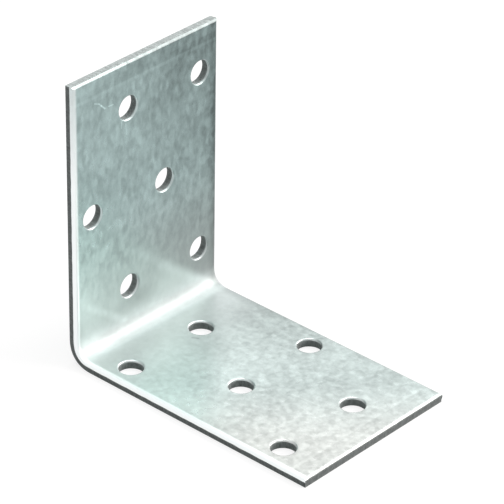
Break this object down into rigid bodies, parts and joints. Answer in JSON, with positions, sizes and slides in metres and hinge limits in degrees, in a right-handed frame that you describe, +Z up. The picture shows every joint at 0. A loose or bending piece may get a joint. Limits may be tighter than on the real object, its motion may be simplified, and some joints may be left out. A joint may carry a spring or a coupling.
{
  "type": "angle bracket",
  "caption": "Folded sheet-steel angle bracket with equal perforated legs, staggered rows of screw holes, a rounded fold and sheared edges.",
  "frame": {"origin": "on the underside of the flat leg, in the middle of its length and width", "axes": "+X along the flat leg, away from the upright leg; +Y across the strip; +Z up the upright leg"},
  "size_m": [0.062, 0.04, 0.062],
  "materials": {
    "galvanised_steel": "galvanised sheet with a fine mottled grain, bare and darker on its cut edges"
  },
  "bodies": {
    "root": {"bracket": "galvanised_steel"}
  },
  "joints": []
}
